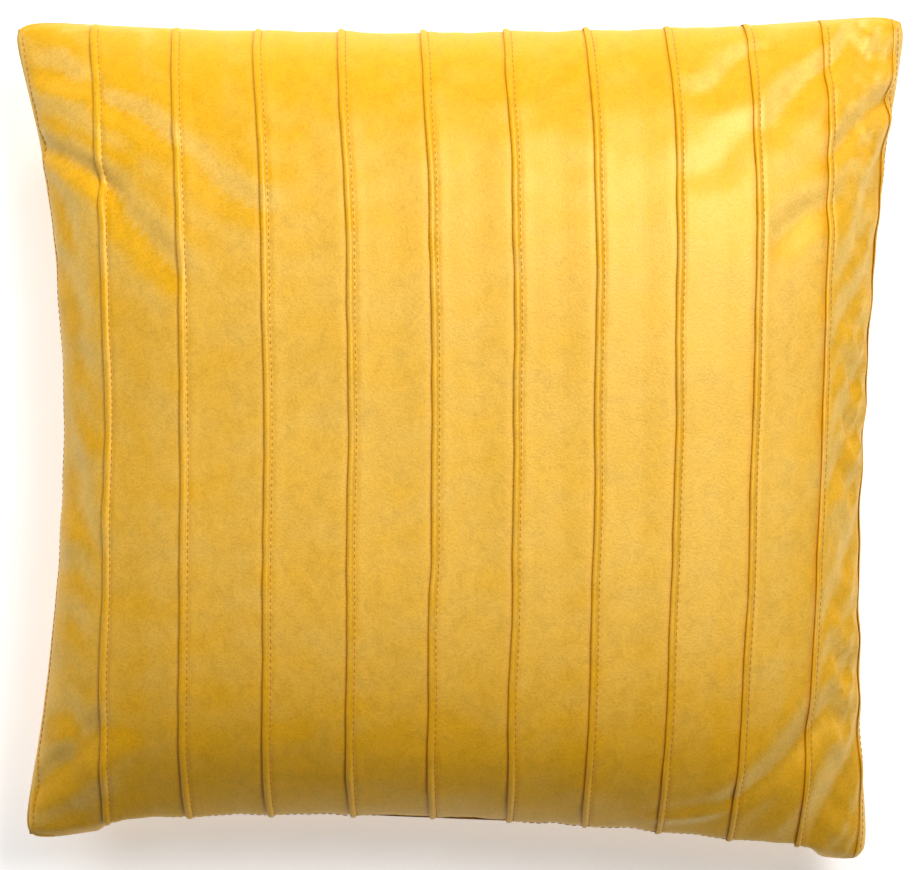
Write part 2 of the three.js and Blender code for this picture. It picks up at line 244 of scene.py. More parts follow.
def stuffed_cover():
    """The front and back as grids of points, from a flat two-sided cover blown up by its filling."""
    line = np.linspace(-1, 1, CELLS + 1)
    s, t = np.meshgrid(line, line, indexing="ij")
    front, back = crowned(s, t, 1), crowned(s, t, -1)
    rim = (np.abs(s) == 1) | (np.abs(t) == 1)
    back[rim] = front[rim]
    # The back shares the front's vertices along the rim and has its own inside it.
    front_number = np.arange((CELLS + 1) ** 2).reshape(s.shape)
    back_number = np.where(rim, front_number, -1)
    back_number[~rim] = front_number.size + np.arange((~rim).sum())
    start = np.concatenate([front.reshape(-1, 3), back[~rim]])
    flat_place = np.stack([s, t, np.zeros_like(s)], -1) * HALF_CLOTH
    flat = np.concatenate([flat_place.reshape(-1, 3), flat_place[~rim] - (0, 0, 10)])
    faces = np.concatenate([grid_quads(front_number, (0, 1, 2, 3)),
                            grid_quads(back_number, (0, 3, 2, 1))])
    points = blown_up(start, flat, faces, front_number[rim])
    return points[front_number], points[back_number]


def pressed_smooth(grid, rounds=70):
    """The filling presses the velvet smooth, apart from its gathers beside the seams."""
    line = np.linspace(-HALF_CLOTH, HALF_CLOTH, CELLS + 1)
    x, y = np.meshgrid(line, line, indexing="ij")
    clear_of_sides = smooth((HALF_CLOTH - np.abs(x) - 6) / 45)
    clear_of_ends = smooth((HALF_CLOTH - np.abs(y) - 4) / 30)
    share = (clear_of_sides * clear_of_ends)[1:-1, 1:-1, None]
    grid = grid.copy()
    inner = grid[1:-1, 1:-1]
    for _ in range(rounds):
        around = (grid[:-2, 1:-1] + grid[2:, 1:-1] + grid[1:-1, :-2] + grid[1:-1, 2:]) / 4
        inner += share * 0.8 * (around - inner)
    return grid


FRONT, BACK = [pressed_smooth(grid) for grid in stuffed_cover()]


def sample(grid, x, y):
    """A smooth surface through a grid of points, read at places on the flat cloth."""
    cells = grid.shape[0] - 1
    wide = np.pad(grid, ((1, 1), (1, 1), (0, 0)), mode="reflect", reflect_type="odd")

    def weights(place):
        """The cell a place falls in, and the cubic weights of the four points around it."""
        at = np.clip((place / HALF_CLOTH + 1) / 2, 0, 1) * cells
        whole = np.minimum(at.astype(int), cells - 1)
        f = (at - whole)[..., None]
        w = np.concatenate([
            -0.5 * f + f**2 - 0.5 * f**3,
            1 - 2.5 * f**2 + 1.5 * f**3,
            0.5 * f + 2 * f**2 - 1.5 * f**3,
            -0.5 * f**2 + 0.5 * f**3,
        ], -1)
        return whole, w

    i, wi = weights(x)
    j, wj = weights(y)
    total = 0
    for a in range(4):
        for b in range(4):
            total = total + wide[i + a, j + b] * (wi[..., a] * wj[..., b])[..., None]
    return total


def outward(surface, x, y, step=1.5):
    """The unit normal of a surface at places on the flat cloth."""
    x0, x1 = np.maximum(x - step, -HALF_CLOTH), np.minimum(x + step, HALF_CLOTH)
    y0, y1 = np.maximum(y - step, -HALF_CLOTH), np.minimum(y + step, HALF_CLOTH)
    normal = np.cross(surface(x1, y) - surface(x0, y), surface(x, y1) - surface(x, y0))
    return normal / np.maximum(np.linalg.norm(normal, axis=-1, keepdims=True), 1e-9)


# ---- folds and puckers of the front ----
# Each fold: where it starts and ends on the flat cloth, its depth (below 0 a valley), its width.
FOLD_SCALE = 0.55  # of the depths given here
FOLDS = [
    # At the top left they run down and to the right.
    ((-222, 158), (-178, 124), -4.6, 5.0),
    ((-177, 172), (-146, 147), -2.8, 6.0),
    ((-179, 129), (-148, 78), -3.4, 7.0),
    ((-136, 136), (-104, 106), -2.2, 7.0),
    ((-214, 134), (-201, 100), -2.6, 4.5),
    ((-216, 186), (-184, 168), 2.0, 6.0),
    ((-214, 92), (-196, 40), -2.4, 7.0),
    ((-212, 0), (-194, -60), -2.2, 7.0),
    # At the top right they run down and to the left.
    ((222, 184), (182, 146), -4.6, 4.5),
    ((184, 198), (147, 156), -3.2, 6.5),
    ((142, 198), (110, 170), -2.4, 7.0),
    ((217, 174), (196, 148), -2.6, 4.5),
    ((184, 122), (148, 96), -3.0, 7.0),
    ((218, 150), (190, 84), -3.4, 5.5),
    ((214, 104), (186, 46), -3.0, 6.0),
    ((142, 152), (104, 128), -1.6, 8.0),
    ((206, 40), (186, -20), -2.6, 7.0),
    ((208, -40), (190, -90), -2.8, 7.0),
    # Both lower corners.
    ((182, -140), (136, -192), -3.2, 6.0),
    ((204, -146), (160, -204), 2.6, 7.0),
    ((214, -150), (188, -206), -3.0, 6.0),
    ((96, -205), (134, -194), 1.6, 3.5),
    ((-219, -194), (-186, -156), -3.0, 6.0),
    ((-212, -210), (-172, -172), 2.4, 7.0),
]


def fold_relief(x, y):
    """The folds: each a valley with soft shoulders that fades out at both ends."""
    total = np.zeros_like(x)
    for (x0, y0), (x1, y1), depth, width in FOLDS:
        run = math.hypot(x1 - x0, y1 - y0)
        ux, uy = (x1 - x0) / run, (y1 - y0) / run
        along = ((x - x0) * ux + (y - y0) * uy) / run
        off = (x - x0) * uy - (y - y0) * ux
        off = off + 0.3 * width * np.sin(along * 5 + x0)  # no fold runs quite straight
        taper = np.exp(-((np.abs(along - 0.5) / 0.62) ** 6))
        valley = np.exp(-((off / width) ** 2))
        shoulders = np.exp(-(((np.abs(off) - 2.0 * width) / (1.2 * width)) ** 2))
        total += FOLD_SCALE * depth * taper * (valley - 0.35 * shoulders)
    return total


def pucker_relief(x, y):
    """Gathers and soft buckles just inside the side seams, and faint ones by top and bottom."""
    total = np.zeros_like(x)
    for side, depth, seed in ((-1, 0.6, 31), (1, 0.9, 47)):
        distance = HALF_CLOTH - side * x
        slant = y + 0.5 * distance
        buckles = waver(slant + 4 * waver(distance, seed + 1, 40, 20), seed, 60, 22)
        total += depth * buckles * np.exp(-(((distance - 24) / 12.0) ** 2))
    for side, seed in ((-1, 61), (1, 77)):
        distance = HALF_CLOTH - side * y
        gather = waver(x, seed, 36, 14)
        total += 0.15 * gather * np.exp(-(((distance - 8) / 8.0) ** 2))
    return total


def strip_relief(x, y):
    """Between two tucks the velvet swells a little; over broad patches it lies unevenly."""
    phase = (x / TUCK_PITCH) % 1.0 - 0.5
    swell = 0.7 * (1 - (2 * phase) ** 2)
    return swell + 0.12 * ripple(x, y, 90, 120, 45, 12) + 0.05 * ripple(x, y, 91, 34, 14, 16)


def seam_fade(x, y, reach=7.0):
    """0 at the seam and 1 once clear of it, so that the two panels still meet."""
    edge = HALF_CLOTH - np.maximum(np.abs(x), np.abs(y))
    return smooth(edge / reach)


TURNING = 9.5  # width of the cloth's edge that turns in to the zip
DRAWN_IN_TO = ZIP_CHAIN / 2 + 34  # from the middle, where the edge starts to be drawn in
OPEN_TO = ZIP_CHAIN / 2 + 21  # and where the two lips start to part


def turn_in(points, y, away):
    """Turns a panel's edge in to the zip along the middle of the lower seam."""
    from_middle = np.abs(points[..., 0])
    near = smooth(1 - (HALF_CLOTH + y) / TURNING)
    drawn_in = near * smooth((DRAWN_IN_TO - from_middle) / 20)
    parted = near * smooth((OPEN_TO - from_middle) / 5)
    lip_y = ZIP_MIDDLE + math.tan(ZIP_TILT) * points[..., 0] - ZIP_LIP
    moved = points.copy()
    moved[..., 1] += drawn_in * (lip_y - points[..., 1])
    moved[..., 2] += parted * (SEAM_LEVEL + away * ZIP_OPENING / 2 - points[..., 2])
    return moved


def lie_down(points, soft=3.0):
    """Presses what would go below the resting surface flat, easing in over a soft height."""
    points = points.copy()
    z = points[..., 2]
    eased = np.where(z > -soft, (z + soft) ** 2 / (4 * soft), 0)
    points[..., 2] = np.where(z > soft, z, eased)
    return points


NORMAL_STEP = 4.0  # wide enough for the relief not to follow small unevenness of the cloth


def front_normal(x, y):
    return outward(lambda a, b: sample(FRONT, a, b), x, y, NORMAL_STEP)


def front_surface(x, y):
    base = turn_in(sample(FRONT, x, y), y, 1)
    relief = (fold_relief(x, y) + pucker_relief(x, y) + strip_relief(x, y)) * seam_fade(x, y)
    return base + front_normal(x, y) * relief[..., None]


def back_surface(x, y):
    base = turn_in(sample(BACK, x, y), y, -1)
    relief = (0.6 * ripple(x, y, 140, 110, 40, 12) + 0.8 * pucker_relief(x, -y)
              + 0.15 * ripple(x, y, 141, 30, 14, 14))
    normal = -outward(lambda a, b: sample(BACK, a, b), x, y, NORMAL_STEP)
    return lie_down(base + normal * (relief * seam_fade(x, y))[..., None])


# ---- front panel ----
# Section of one tuck, from its left to its right: how far from its stitching, and how high.
TUCK_SECTION = [
    (-9.0, 0.0), (-7.0, 0.0), (-5.5, -0.1), (-4.4, -0.25), (-3.5, -0.35), (-2.4, -0.3),
    (-1.0, -0.15), (-0.45, 0.05), (-1.2, 0.25), (-2.3, 0.35), (-2.9, 0.45), (-3.3, 0.65),
    (-3.45, 0.95), (-3.3, 1.25), (-2.9, 1.5), (-2.3, 1.6), (-1.7, 1.52), (-1.1, 1.25),
    (-0.6, 0.85), (-0.2, 0.4), (0.3, 0.2), (0.9, 0.28), (1.7, 0.45), (3.0, 0.4), (5.0, 0.15),
    (7.5, 0.0),
]
FOLD_START, FOLD_END = 6, 20  # the places in the section that stand up as the fold
GAP_CELLS = 6  # cells across the plain velvet between two sections
ROWS = 134


def front_columns():
    """Every column of the front's mesh: which tuck it goes with, and its place in the section."""
    start, end = TUCK_SECTION[0][0], TUCK_SECTION[-1][0]
    gap = TUCK_PITCH - (end - start)
    columns = []
    for k in range(TUCKS):
        columns += [(k, across, height) for across, height in TUCK_SECTION]
        if k < TUCKS - 1:
            columns += [(k, end + gap * i / GAP_CELLS, 0.0) for i in range(1, GAP_CELLS)]
    return np.array(columns)


def tuck_wander(k, y, first_seed, longest, shortest, waves):
    """A random line along y for each tuck k, of about unit size."""
    total = np.zeros_like(y)
    for one in range(TUCKS):
        total += np.where(k == one, waver(y, first_seed + one, longest, shortest, waves), 0)
    return total


def tuck_line(k, y):
    """Where tuck k's stitching runs: nearly straight."""
    line = (k - (TUCKS - 1) / 2) * TUCK_PITCH
    return line + 0.22 * tuck_wander(k, y, 200, 240, 60, 5)


def tuck_stand(k, y):
    """How far tuck k stands up along its length. The two outermost are pressed flatter."""
    outermost = (k == 0) | (k == TUCKS - 1)
    return np.where(outermost, 0.5, 1) * (1 + 0.07 * tuck_wander(k, y, 300, 90, 20, 7))


def add_attribute(obj, name, values):
    attribute = obj.data.attributes.new(name, "FLOAT", "POINT")
    attribute.data.foreach_set("value", np.asarray(values, np.float32))


def spread(t):
    """-1 to 1 again, with the ends closer set, as the cloth bends most beside its seams."""
    return t + 0.1 * np.sin(math.pi * t)


def keep_in_cloth(x):
    return np.clip(x, -HALF_CLOTH, HALF_CLOTH)


def painted_sheen(x, normal, even_normal):
    """How much sheen is painted on the velvet, read from its normals: a pale share where it lies
    flat, less where it slopes toward the top or bottom, more on fold sides that face down or outward.
    """
    slope = smooth(np.abs(even_normal[..., 1]) / 0.4)
    turn = normal - even_normal
    turned = 0.9 * turn[..., 1] - 0.4 * x / HALF_CLOTH * turn[..., 0]
    return np.clip(0.45 - 0.45 * slope - 6.0 * turned, 0, 0.85)


def front_panel():
    section = front_columns()
    last = len(section) + 1
    panel = cloth_blank("cover_front_velvet", last, ROWS)
    co = places(panel)
    column = np.rint((co[:, 0] + 1) / 2 * last).astype(int)
    y = HALF_CLOTH * spread(co[:, 1])
    upper = co[:, 2] > 0.5
    # The first and last columns are the side seams themselves.
    side_seam = (column == 0) | (column == last)
    at = np.clip(column - 1, 0, len(section) - 1)
    tuck, across, height = section[at].T
    stand = tuck_stand(tuck, y)
    stitched = tuck_line(tuck, y)
    # The fold leans over to its left, less so where it stands lower.
    x = stitched + np.where(across < 0, across * (0.7 + 0.3 * stand), across)
    x = np.where(side_seam, np.where(column == 0, -HALF_CLOTH, HALF_CLOTH), x)
    x = keep_in_cloth(x)
    height = height * stand * np.where(side_seam, 0, 1)
    height = height * (0.25 + 0.75 * seam_fade(np.zeros_like(y), y, 9.0))
    # Inside, the cloth of a tuck closes up at its stitching.
    order = at % (len(TUCK_SECTION) + GAP_CELLS - 1)
    in_fold = (order >= FOLD_START) & (order <= FOLD_END)
    closed_up = stitched + 0.05 * (order - (FOLD_START + FOLD_END) / 2)
    x = np.where(~upper & in_fold, keep_in_cloth(closed_up), x)
    normal = outward(front_surface, x, y)
    lift = np.where(upper, height, -VELVET)
    move_to(panel, front_surface(x, y) + normal * lift[:, None])
    # Painted shade: the cloth just under each fold's free left edge, where its shadow falls, is
    # marked for darkening, less so for the two flatter outermost tucks.
    under = np.where(upper & (across < -0.2) & (height < 0.6), smooth((across + 5.5) / 2), 0)
    outermost = (tuck == 0) | (tuck == TUCKS - 1)
    add_attribute(panel, "recess_shade", under * np.where(outermost, 0.4, 1))
    on_top = height > 0.8
    # Painted sheen, less on the tuck ridge tops so that they stay saturated.
    add_attribute(panel, "painted_sheen", painted_sheen(x, normal, front_normal(x, y)) - 0.3 * on_top)
    return merged_and_smooth(panel)


def merged_and_smooth(panel):
    """Merges vertices at one place, and shades the piece smooth."""
    bpy.ops.object.select_all(action="DESELECT")
    panel.select_set(True)
    bpy.context.view_layer.objects.active = panel
    bpy.ops.object.mode_set(mode="EDIT")
    bpy.ops.mesh.select_all(action="SELECT")
    bpy.ops.mesh.remove_doubles(threshold=1e-6)
    bpy.ops.object.mode_set(mode="OBJECT")
    bpy.ops.object.shade_smooth()
    panel.select_set(False)
    return panel


# ---- back panel ----
BACK_CELLS = 130


def back_panel():
    panel = cloth_blank("cover_back_velvet", BACK_CELLS, BACK_CELLS)
    co = places(panel)
    x = HALF_CLOTH * spread(co[:, 0])
    y = HALF_CLOTH * spread(co[:, 1])
    upper = co[:, 2] > 0.5
    surface = back_surface(x, y)
    normal = outward(back_surface, x, y)
    move_to(panel, surface + normal * np.where(upper, VELVET, 0)[:, None])
    add_attribute(panel, "recess_shade", np.zeros(len(x)))
    # An even share of painted sheen all over the back.
    add_attribute(panel, "painted_sheen", np.full(len(x), 0.35))
    return merged_and_smooth(panel)


# ---- pad and its filling, inside the cover ----
PAD_CELLS = 48
PAD_SHARE = 0.86  # of the cover's cloth that the pad lies under
PAD_CASE = 0.8  # drawn a little thicker than real spun-bonded cloth
FIBRE_INSET = 2.5
PAD_MIDDLE = np.array([0, 3])


def pad_surface(grid, side, x, y, inset):
    """The pad's skin: the cover's shape, drawn in by inset and sewn shut at the seam's level."""
    points = sample(grid, x * PAD_SHARE, y * PAD_SHARE).copy()
    s, t = x / HALF_CLOTH, y / HALF_CLOTH
    shut = np.clip((1 - s**8) * (1 - t**8), 0, 1) ** 0.6
    height = (points[..., 2] - SEAM_LEVEL - side * (inset + 3)) * shut
    height = side * np.maximum(side * height, 0)
    narrowed = (points[..., :2] - PAD_MIDDLE) * (0.985 - 0.001 * inset)
    points[..., :2] = PAD_MIDDLE + narrowed
    points[..., 2] = np.maximum(SEAM_LEVEL + height, inset + 2)
    return points


def pad_half(name, grid, side):
    half = cloth_blank(name, PAD_CELLS, PAD_CELLS)
    co = places(half)
    x, y = co[:, 0] * HALF_CLOTH, co[:, 1] * HALF_CLOTH
    outer = (co[:, 2] > 0.5) == (side > 0)
    points = np.where(outer[:, None], pad_surface(grid, side, x, y, 0),
                      pad_surface(grid, side, x, y, PAD_CASE))
    points[:, 2] += side * 0.1
    move_to(half, points)
    return merged_and_smooth(half)


def filling():
    fill = cloth_blank("fibre_filling", PAD_CELLS, PAD_CELLS)
    co = places(fill)
    x, y = co[:, 0] * HALF_CLOTH, co[:, 1] * HALF_CLOTH
    upper = co[:, 2] > 0.5
    points = np.where(upper[:, None], pad_surface(FRONT, 1, x, y, FIBRE_INSET),
                      pad_surface(BACK, -1, x, y, FIBRE_INSET))
    points[:, 2] += np.where(upper, 0.2, -0.2)
    move_to(fill, points)
    return merged_and_smooth(fill)


# ---- stitches ----
STITCH_PITCH = 3.3
STITCH_LENGTH = 2.3
THREAD = 0.4
ZIP_STITCH_PITCH = 3.6
ZIP_STITCH_LENGTH = 2.8
ZIP_STITCH_INSET = 6.5  # from the edge of the velvet
COVER_SEAM_INSET = 3.5
PAD_SEAM_INSET = 22


def one_stitch():
    """A short length of thread along X, -1 to 1, that dips at both ends: its places and faces."""
    bpy.ops.mesh.primitive_uv_sphere_add(segments=6, ring_count=7, radius=1)
    ball = bpy.context.object
    co = places(ball)
    along = co[:, 2]
    fuller = np.sqrt(1 + along**2)
    dip = 0.9 * along**2
    shape = np.stack([along, co[:, 0] * fuller, co[:, 1] * fuller - dip], -1)
    faces = [tuple(face.vertices) for face in ball.data.polygons]
    bpy.data.objects.remove(ball)
    return shape, faces


def stitch_row(name, path, normals, pitch=STITCH_PITCH, length=STITCH_LENGTH):
    """A row of stitches along a path of points, each lying in its surface."""
    steps = np.linalg.norm(np.diff(path, axis=0), axis=1)
    run = np.concatenate([[0], np.cumsum(steps)])
    middles = np.arange(pitch, run[-1] - pitch / 2, pitch)

    def at(distance, values):
        return np.stack([np.interp(distance, run, values[:, k]) for k in range(3)], -1)

    centre = at(middles, path)
    ahead = at(middles + 0.5, path) - at(middles - 0.5, path)
    ahead /= np.linalg.norm(ahead, axis=1, keepdims=True)
    up = at(middles, normals)
    up -= (up * ahead).sum(1, keepdims=True) * ahead
    up /= np.linalg.norm(up, axis=1, keepdims=True)
    side = np.cross(up, ahead)
    shape, faces = one_stitch()
    points = (
        centre[:, None]
        + ahead[:, None] * (shape[None, :, :1] * length / 2)
        + side[:, None] * (shape[None, :, 1:2] * THREAD / 2)
        + up[:, None] * (shape[None, :, 2:] * THREAD / 2)
    )
    count = len(shape)
    all_faces = [tuple(v + count * n for v in f) for n in range(len(centre)) for f in faces]
    mesh = bpy.data.meshes.new(name)
    mesh.from_pydata((points.reshape(-1, 3) * MM).tolist(), [], all_faces)
    row = bpy.data.objects.new(name, mesh)
    bpy.context.scene.collection.objects.link(row)
    for face in mesh.polygons:
        face.use_smooth = True
    return row


def tuck_row(k):
    """Tuck k's stitching, in the groove along the right-hand base of the fold."""
    y = np.linspace(-HALF_CLOTH + 6, HALF_CLOTH - 6, 420)
    x = keep_in_cloth(tuck_line(np.full_like(y, k), y) + 0.15)
    normal = outward(front_surface, x, y)
    path = front_surface(x, y) + normal * 0.42  # the groove's floor, plus the thread
    return stitch_row(f"tuck_stitches_{k + 1:02d}", path, normal)


def zip_row(name, surface, side):
    """The stitching that holds one zip tape, just inside the edge of a panel."""
    cloth_per_width = 2 * HALF_CLOTH / LENGTH
    reach = (ZIP_CHAIN / 2 + 6) * cloth_per_width
    x = np.linspace(-reach, reach, 300)
    y = np.full_like(x, -HALF_CLOTH + ZIP_STITCH_INSET)
    normal = side * outward(surface, x, y)
    path = surface(x, y) + normal * 0.2
    return stitch_row(name, path, normal, ZIP_STITCH_PITCH, ZIP_STITCH_LENGTH)


def seam_row(name, inset, sides):
    """The stitching inside the outline seam, along so many sides, from the left one clockwise."""
    turn = np.linspace(0, sides, 150 * sides + 1)
    side = np.minimum(turn.astype(int), 3)
    t = 2 * (turn - side) - 1
    one = np.ones_like(t)
    x = np.choose(side, [-one, t, one, -t]) * HALF_CLOTH
    y = np.choose(side, [t, one, -t, -one]) * HALF_CLOTH
    path = sample(FRONT, x, y)
    middle = np.array([0, 0, SEAM_LEVEL])
    away = path - middle
    path = middle + away * (1 - inset / np.abs(away[:, :2]).max(1))[:, None]
    return stitch_row(name, path, np.tile([0.0, 0.0, 1.0], (len(path), 1)))


# ---- zip coil: one nylon filament wound down each tape ----
COIL_PITCH = 1.5
FILAMENT = 0.55
COIL_TURNS = int(ZIP_CHAIN / COIL_PITCH)


def zip_coil(name, side):
    """One side's filament: a curve wound along its tape, made a mesh."""
    per_turn = 10
    angle = np.arange(COIL_TURNS * per_turn + 1) * 2 * math.pi / per_turn
    half_width = (COIL_WIDTH + 0.5 - FILAMENT) / 2
    half_height = (COIL_HEIGHT - FILAMENT) / 2
    along = (angle / (2 * math.pi) - COIL_TURNS / 2) * COIL_PITCH
    along += 0 if side > 0 else COIL_PITCH / 2
    out_of_seam = TAPE_THICKNESS / 2 + 0.3 + COIL_HEIGHT / 2 + half_height * np.sin(angle)
    to_panel = side * (ZIP_SLIT / 2 + COIL_WIDTH / 2 - 0.25) + half_width * np.cos(angle)
    c, s = math.cos(ZIP_TILT), math.sin(ZIP_TILT)
    curve = bpy.data.curves.new(name, "CURVE")
    curve.dimensions = "3D"
    curve.bevel_depth = FILAMENT / 2 * MM
    curve.bevel_resolution = 1
    curve.use_fill_caps = True
    line = np.stack([along * c + out_of_seam * s,
                     along * s - out_of_seam * c + ZIP_MIDDLE,
                     to_panel + SEAM_LEVEL], -1) * MM
    spline = curve.splines.new("POLY")
    spline.points.add(len(line) - 1)
    spline.points.foreach_set("co", np.insert(line, 3, 1, axis=1).ravel())
    coil = bpy.data.objects.new(name, curve)
    bpy.context.scene.collection.objects.link(coil)
    bpy.ops.object.select_all(action="DESELECT")
    coil.select_set(True)
    bpy.context.view_layer.objects.active = coil
    bpy.ops.object.convert(target="MESH")
    return merged_and_smooth(bpy.context.object)


# ---- materials ----
SATURATED_PILE = "#ECAC02"
# A pale straw painted in as sheen, also used for random paler patches of pile.
SHEEN_AND_PALE_PILE = "#F9C75C"
# A brown painted in as shade under the tuck folds.
PAINTED_SHADE_PILE = "#B87408"


def linear(hex_colour):
    """An sRGB hex colour as linear RGBA."""
    parts = [int(hex_colour[i : i + 2], 16) / 255 for i in (1, 3, 5)]
    return (*[c / 12.92 if c <= 0.04045 else ((c + 0.055) / 1.055) ** 2.4 for c in parts], 1)


def node(tree, kind, settings=None, **links):
    """Adds a node. Settings are its properties or unlinked sockets; links are its linked sockets."""
    made = tree.nodes.new(kind)
    for name, value in (settings or {}).items():
        if isinstance(name, str) and hasattr(made, name):
            setattr(made, name, value)
        else:
            made.inputs[name].default_value = value
    for name, source in links.items():
        numbered = name[0] == "i" and name[1:].isdigit()
        tree.links.new(source, made.inputs[int(name[1:]) if numbered else name])
    return made


def material(name):
    made = bpy.data.materials.new(name)
    made.use_nodes = True
    made.node_tree.nodes.clear()
    tree = made.node_tree
    shader = node(tree, "ShaderNodeBsdfPrincipled")
    output = node(tree, "ShaderNodeOutputMaterial", Surface=shader.outputs[0])
    output.is_active_output = True
    return made, tree, shader


def ramp(tree, source, stops):
    """Turns a source into colours, or into plain values, between its stops."""
    made = node(tree, "ShaderNodeValToRGB", Fac=source)
    elements = made.color_ramp.elements
    while len(elements) < len(stops):
        elements.new(0.5)
    for element, (place, colour) in zip(elements, stops):
        element.position = place
        element.color = linear(colour) if isinstance(colour, str) else (*[colour] * 3, 1)
    return made.outputs[0]


def pattern(tree, millimetres, detail=2.0, stretch=(1, 1, 1), roughness=0.5, distortion=0.0):
    """Cloudy noise whose patches are about so many millimetres across."""
    place = node(tree, "ShaderNodeTexCoord").outputs["Object"]
    scale = [1 / (millimetres * MM * s) for s in stretch]
    mapped = node(tree, "ShaderNodeMapping", {"Scale": scale}, Vector=place).outputs[0]
    return node(tree, "ShaderNodeTexNoise",
                {"Scale": 1.0, "Detail": detail, "Roughness": roughness,
                 "Distortion": distortion}, Vector=mapped).outputs[0]


def velvet():
    # Cotton velvet, woven with a short cut pile, piece dyed a saturated gold. A paler straw is
    # painted in as sheen where the cloth lies flat or a fold turns down or outward, and a brown is
    # painted in as shade under the free edges of the tuck folds.
    made, tree, shader = material("cut_pile_velvet")

    def blend(kind, first, second, share=1.0):
        mixed = tree.nodes.new("ShaderNodeMix")
        mixed.data_type = "RGBA"
        mixed.blend_type = kind
        for socket, value in ((mixed.inputs[0], share), (mixed.inputs[6], first),
                              (mixed.inputs[7], second)):
            if isinstance(value, bpy.types.NodeSocket):
                tree.links.new(value, socket)
            else:
                socket.default_value = value
        return mixed.outputs[2]

    # Painted sheen: the pale straw is mixed in as the attribute gives, plus random patches of paler
    # pile.
    sheen_share = node(tree, "ShaderNodeAttribute", {"attribute_name": "painted_sheen"}).outputs["Fac"]
    patches = pattern(tree, 22, 3.0, (1, 1.6, 1), 0.6, 0.8)
    drift = ramp(tree, patches, [(0.35, 0.0), (0.7, 0.12)])
    pale = node(tree, "ShaderNodeMath", {"operation": "ADD", "use_clamp": True}, i0=sheen_share, i1=drift)
    body = blend("MIX", linear(SATURATED_PILE), linear(SHEEN_AND_PALE_PILE), pale.outputs[0])
    crushed = pattern(tree, 6, 3.0, (1, 1.3, 1), 0.6, 0.8)
    nap = ramp(tree, crushed, [(0.34, 0.93), (0.5, 1.0), (0.66, 1.04)])
    grain = pattern(tree, 1.1, 2.0, (1, 1, 1), 0.7)
    pile = ramp(tree, grain, [(0.3, 0.86), (0.5, 1.0), (0.72, 1.1)])
    grained = blend("MULTIPLY", blend("MULTIPLY", body, nap), pile)
    # Painted shade: the velvet under the fold edges is darkened towards a brown.
    recess_shade = node(tree, "ShaderNodeAttribute", {"attribute_name": "recess_shade"}).outputs["Fac"]
    deep = node(tree, "ShaderNodeMath", {"operation": "MULTIPLY", 1: 0.32}, i0=recess_shade)
    coloured = blend("MIX", grained, linear(PAINTED_SHADE_PILE), deep.outputs[0])
    tree.links.new(coloured, shader.inputs["Base Color"])
    rough = ramp(tree, crushed, [(0.3, 0.46), (0.7, 0.54)])
    tree.links.new(rough, shader.inputs["Roughness"])
    shader.inputs["IOR"].default_value = 1.7
    shader.inputs["Specular IOR Level"].default_value = 1.0
    shader.inputs["Specular Tint"].default_value = linear("#FFE99A")
    shader.inputs["Sheen Weight"].default_value = 0.08
    shader.inputs["Sheen Roughness"].default_value = 0.5
    shader.inputs["Sheen Tint"].default_value = linear("#FFD25A")
    soft = node(tree, "ShaderNodeBump", {"Strength": 0.12, "Distance": 0.0006}, Height=crushed)
    fine = node(tree, "ShaderNodeBump", {"Strength": 0.4, "Distance": 0.0003}, Height=grain,
                Normal=soft.outputs[0])
    tree.links.new(fine.outputs[0], shader.inputs["Normal"])
    return made


def plain_cloth(name, dark, light, grain_size, roughness, bump, sheen=0.2):
    """A cloth or thread: two close shades in a fine grain, dull, with a little relief."""
    made, tree, shader = material(name)
    grain = pattern(tree, grain_size, 3.0)
    tree.links.new(ramp(tree, grain, [(0.35, dark), (0.65, light)]), shader.inputs["Base Color"])
    shader.inputs["Roughness"].default_value = roughness
    shader.inputs["Sheen Weight"].default_value = sheen
    relief = node(tree, "ShaderNodeBump", {"Strength": 0.5, "Distance": bump * MM}, Height=grain)
    tree.links.new(relief.outputs[0], shader.inputs["Normal"])
    return made


def woven_tape():
    # Polyester zip tape, woven in a fine herringbone: slanting ribs, with a dull surface. Its real
    # ribs, about 1 mm apart, are too fine to show, so they are drawn three times as coarse.
    rib_pitch = 3.16
    made, tree, shader = material("woven_polyester_tape")
    place = node(tree, "ShaderNodeTexCoord").outputs["Object"]
    ribs = node(tree, "ShaderNodeTexWave",
                {"wave_type": "BANDS", "bands_direction": "DIAGONAL",
                 "Scale": 2 * math.pi / (10 * rib_pitch * MM), "Distortion": 0.4},
                Vector=place).outputs[1]
    tree.links.new(ramp(tree, ribs, [(0.2, "#B87F0C"), (0.8, "#E0A21C")]),
                   shader.inputs["Base Color"])
    shader.inputs["Roughness"].default_value = 0.75
    relief = node(tree, "ShaderNodeBump", {"Strength": 0.6, "Distance": 0.0002}, Height=ribs)
    tree.links.new(relief.outputs[0], shader.inputs["Normal"])
    return made


def plated_metal():
    # Die-cast zinc with satin nickel plate: soft reflections, faint tumbling marks.
    made, tree, shader = material("nickel_plated_zinc")
    marks = pattern(tree, 0.7, 3.0, (3, 1, 1))
    tree.links.new(ramp(tree, marks, [(0.3, "#A39E94"), (0.7, "#C9C5BC")]),
                   shader.inputs["Base Color"])
    shader.inputs["Metallic"].default_value = 1.0
    tree.links.new(ramp(tree, marks, [(0.3, 0.26), (0.7, 0.42)]), shader.inputs["Roughness"])
    relief = node(tree, "ShaderNodeBump", {"Strength": 0.15, "Distance": 0.0001}, Height=marks)
    tree.links.new(relief.outputs[0], shader.inputs["Normal"])
    return made


VELVET_MATERIAL = velvet()
# Spun polyester sewing thread, dyed to match: darker than the pile because it has no sheen.
THREAD_MATERIAL = plain_cloth("spun_polyester_thread", "#B07408", "#D09414", 0.35, 0.7, 0.1)
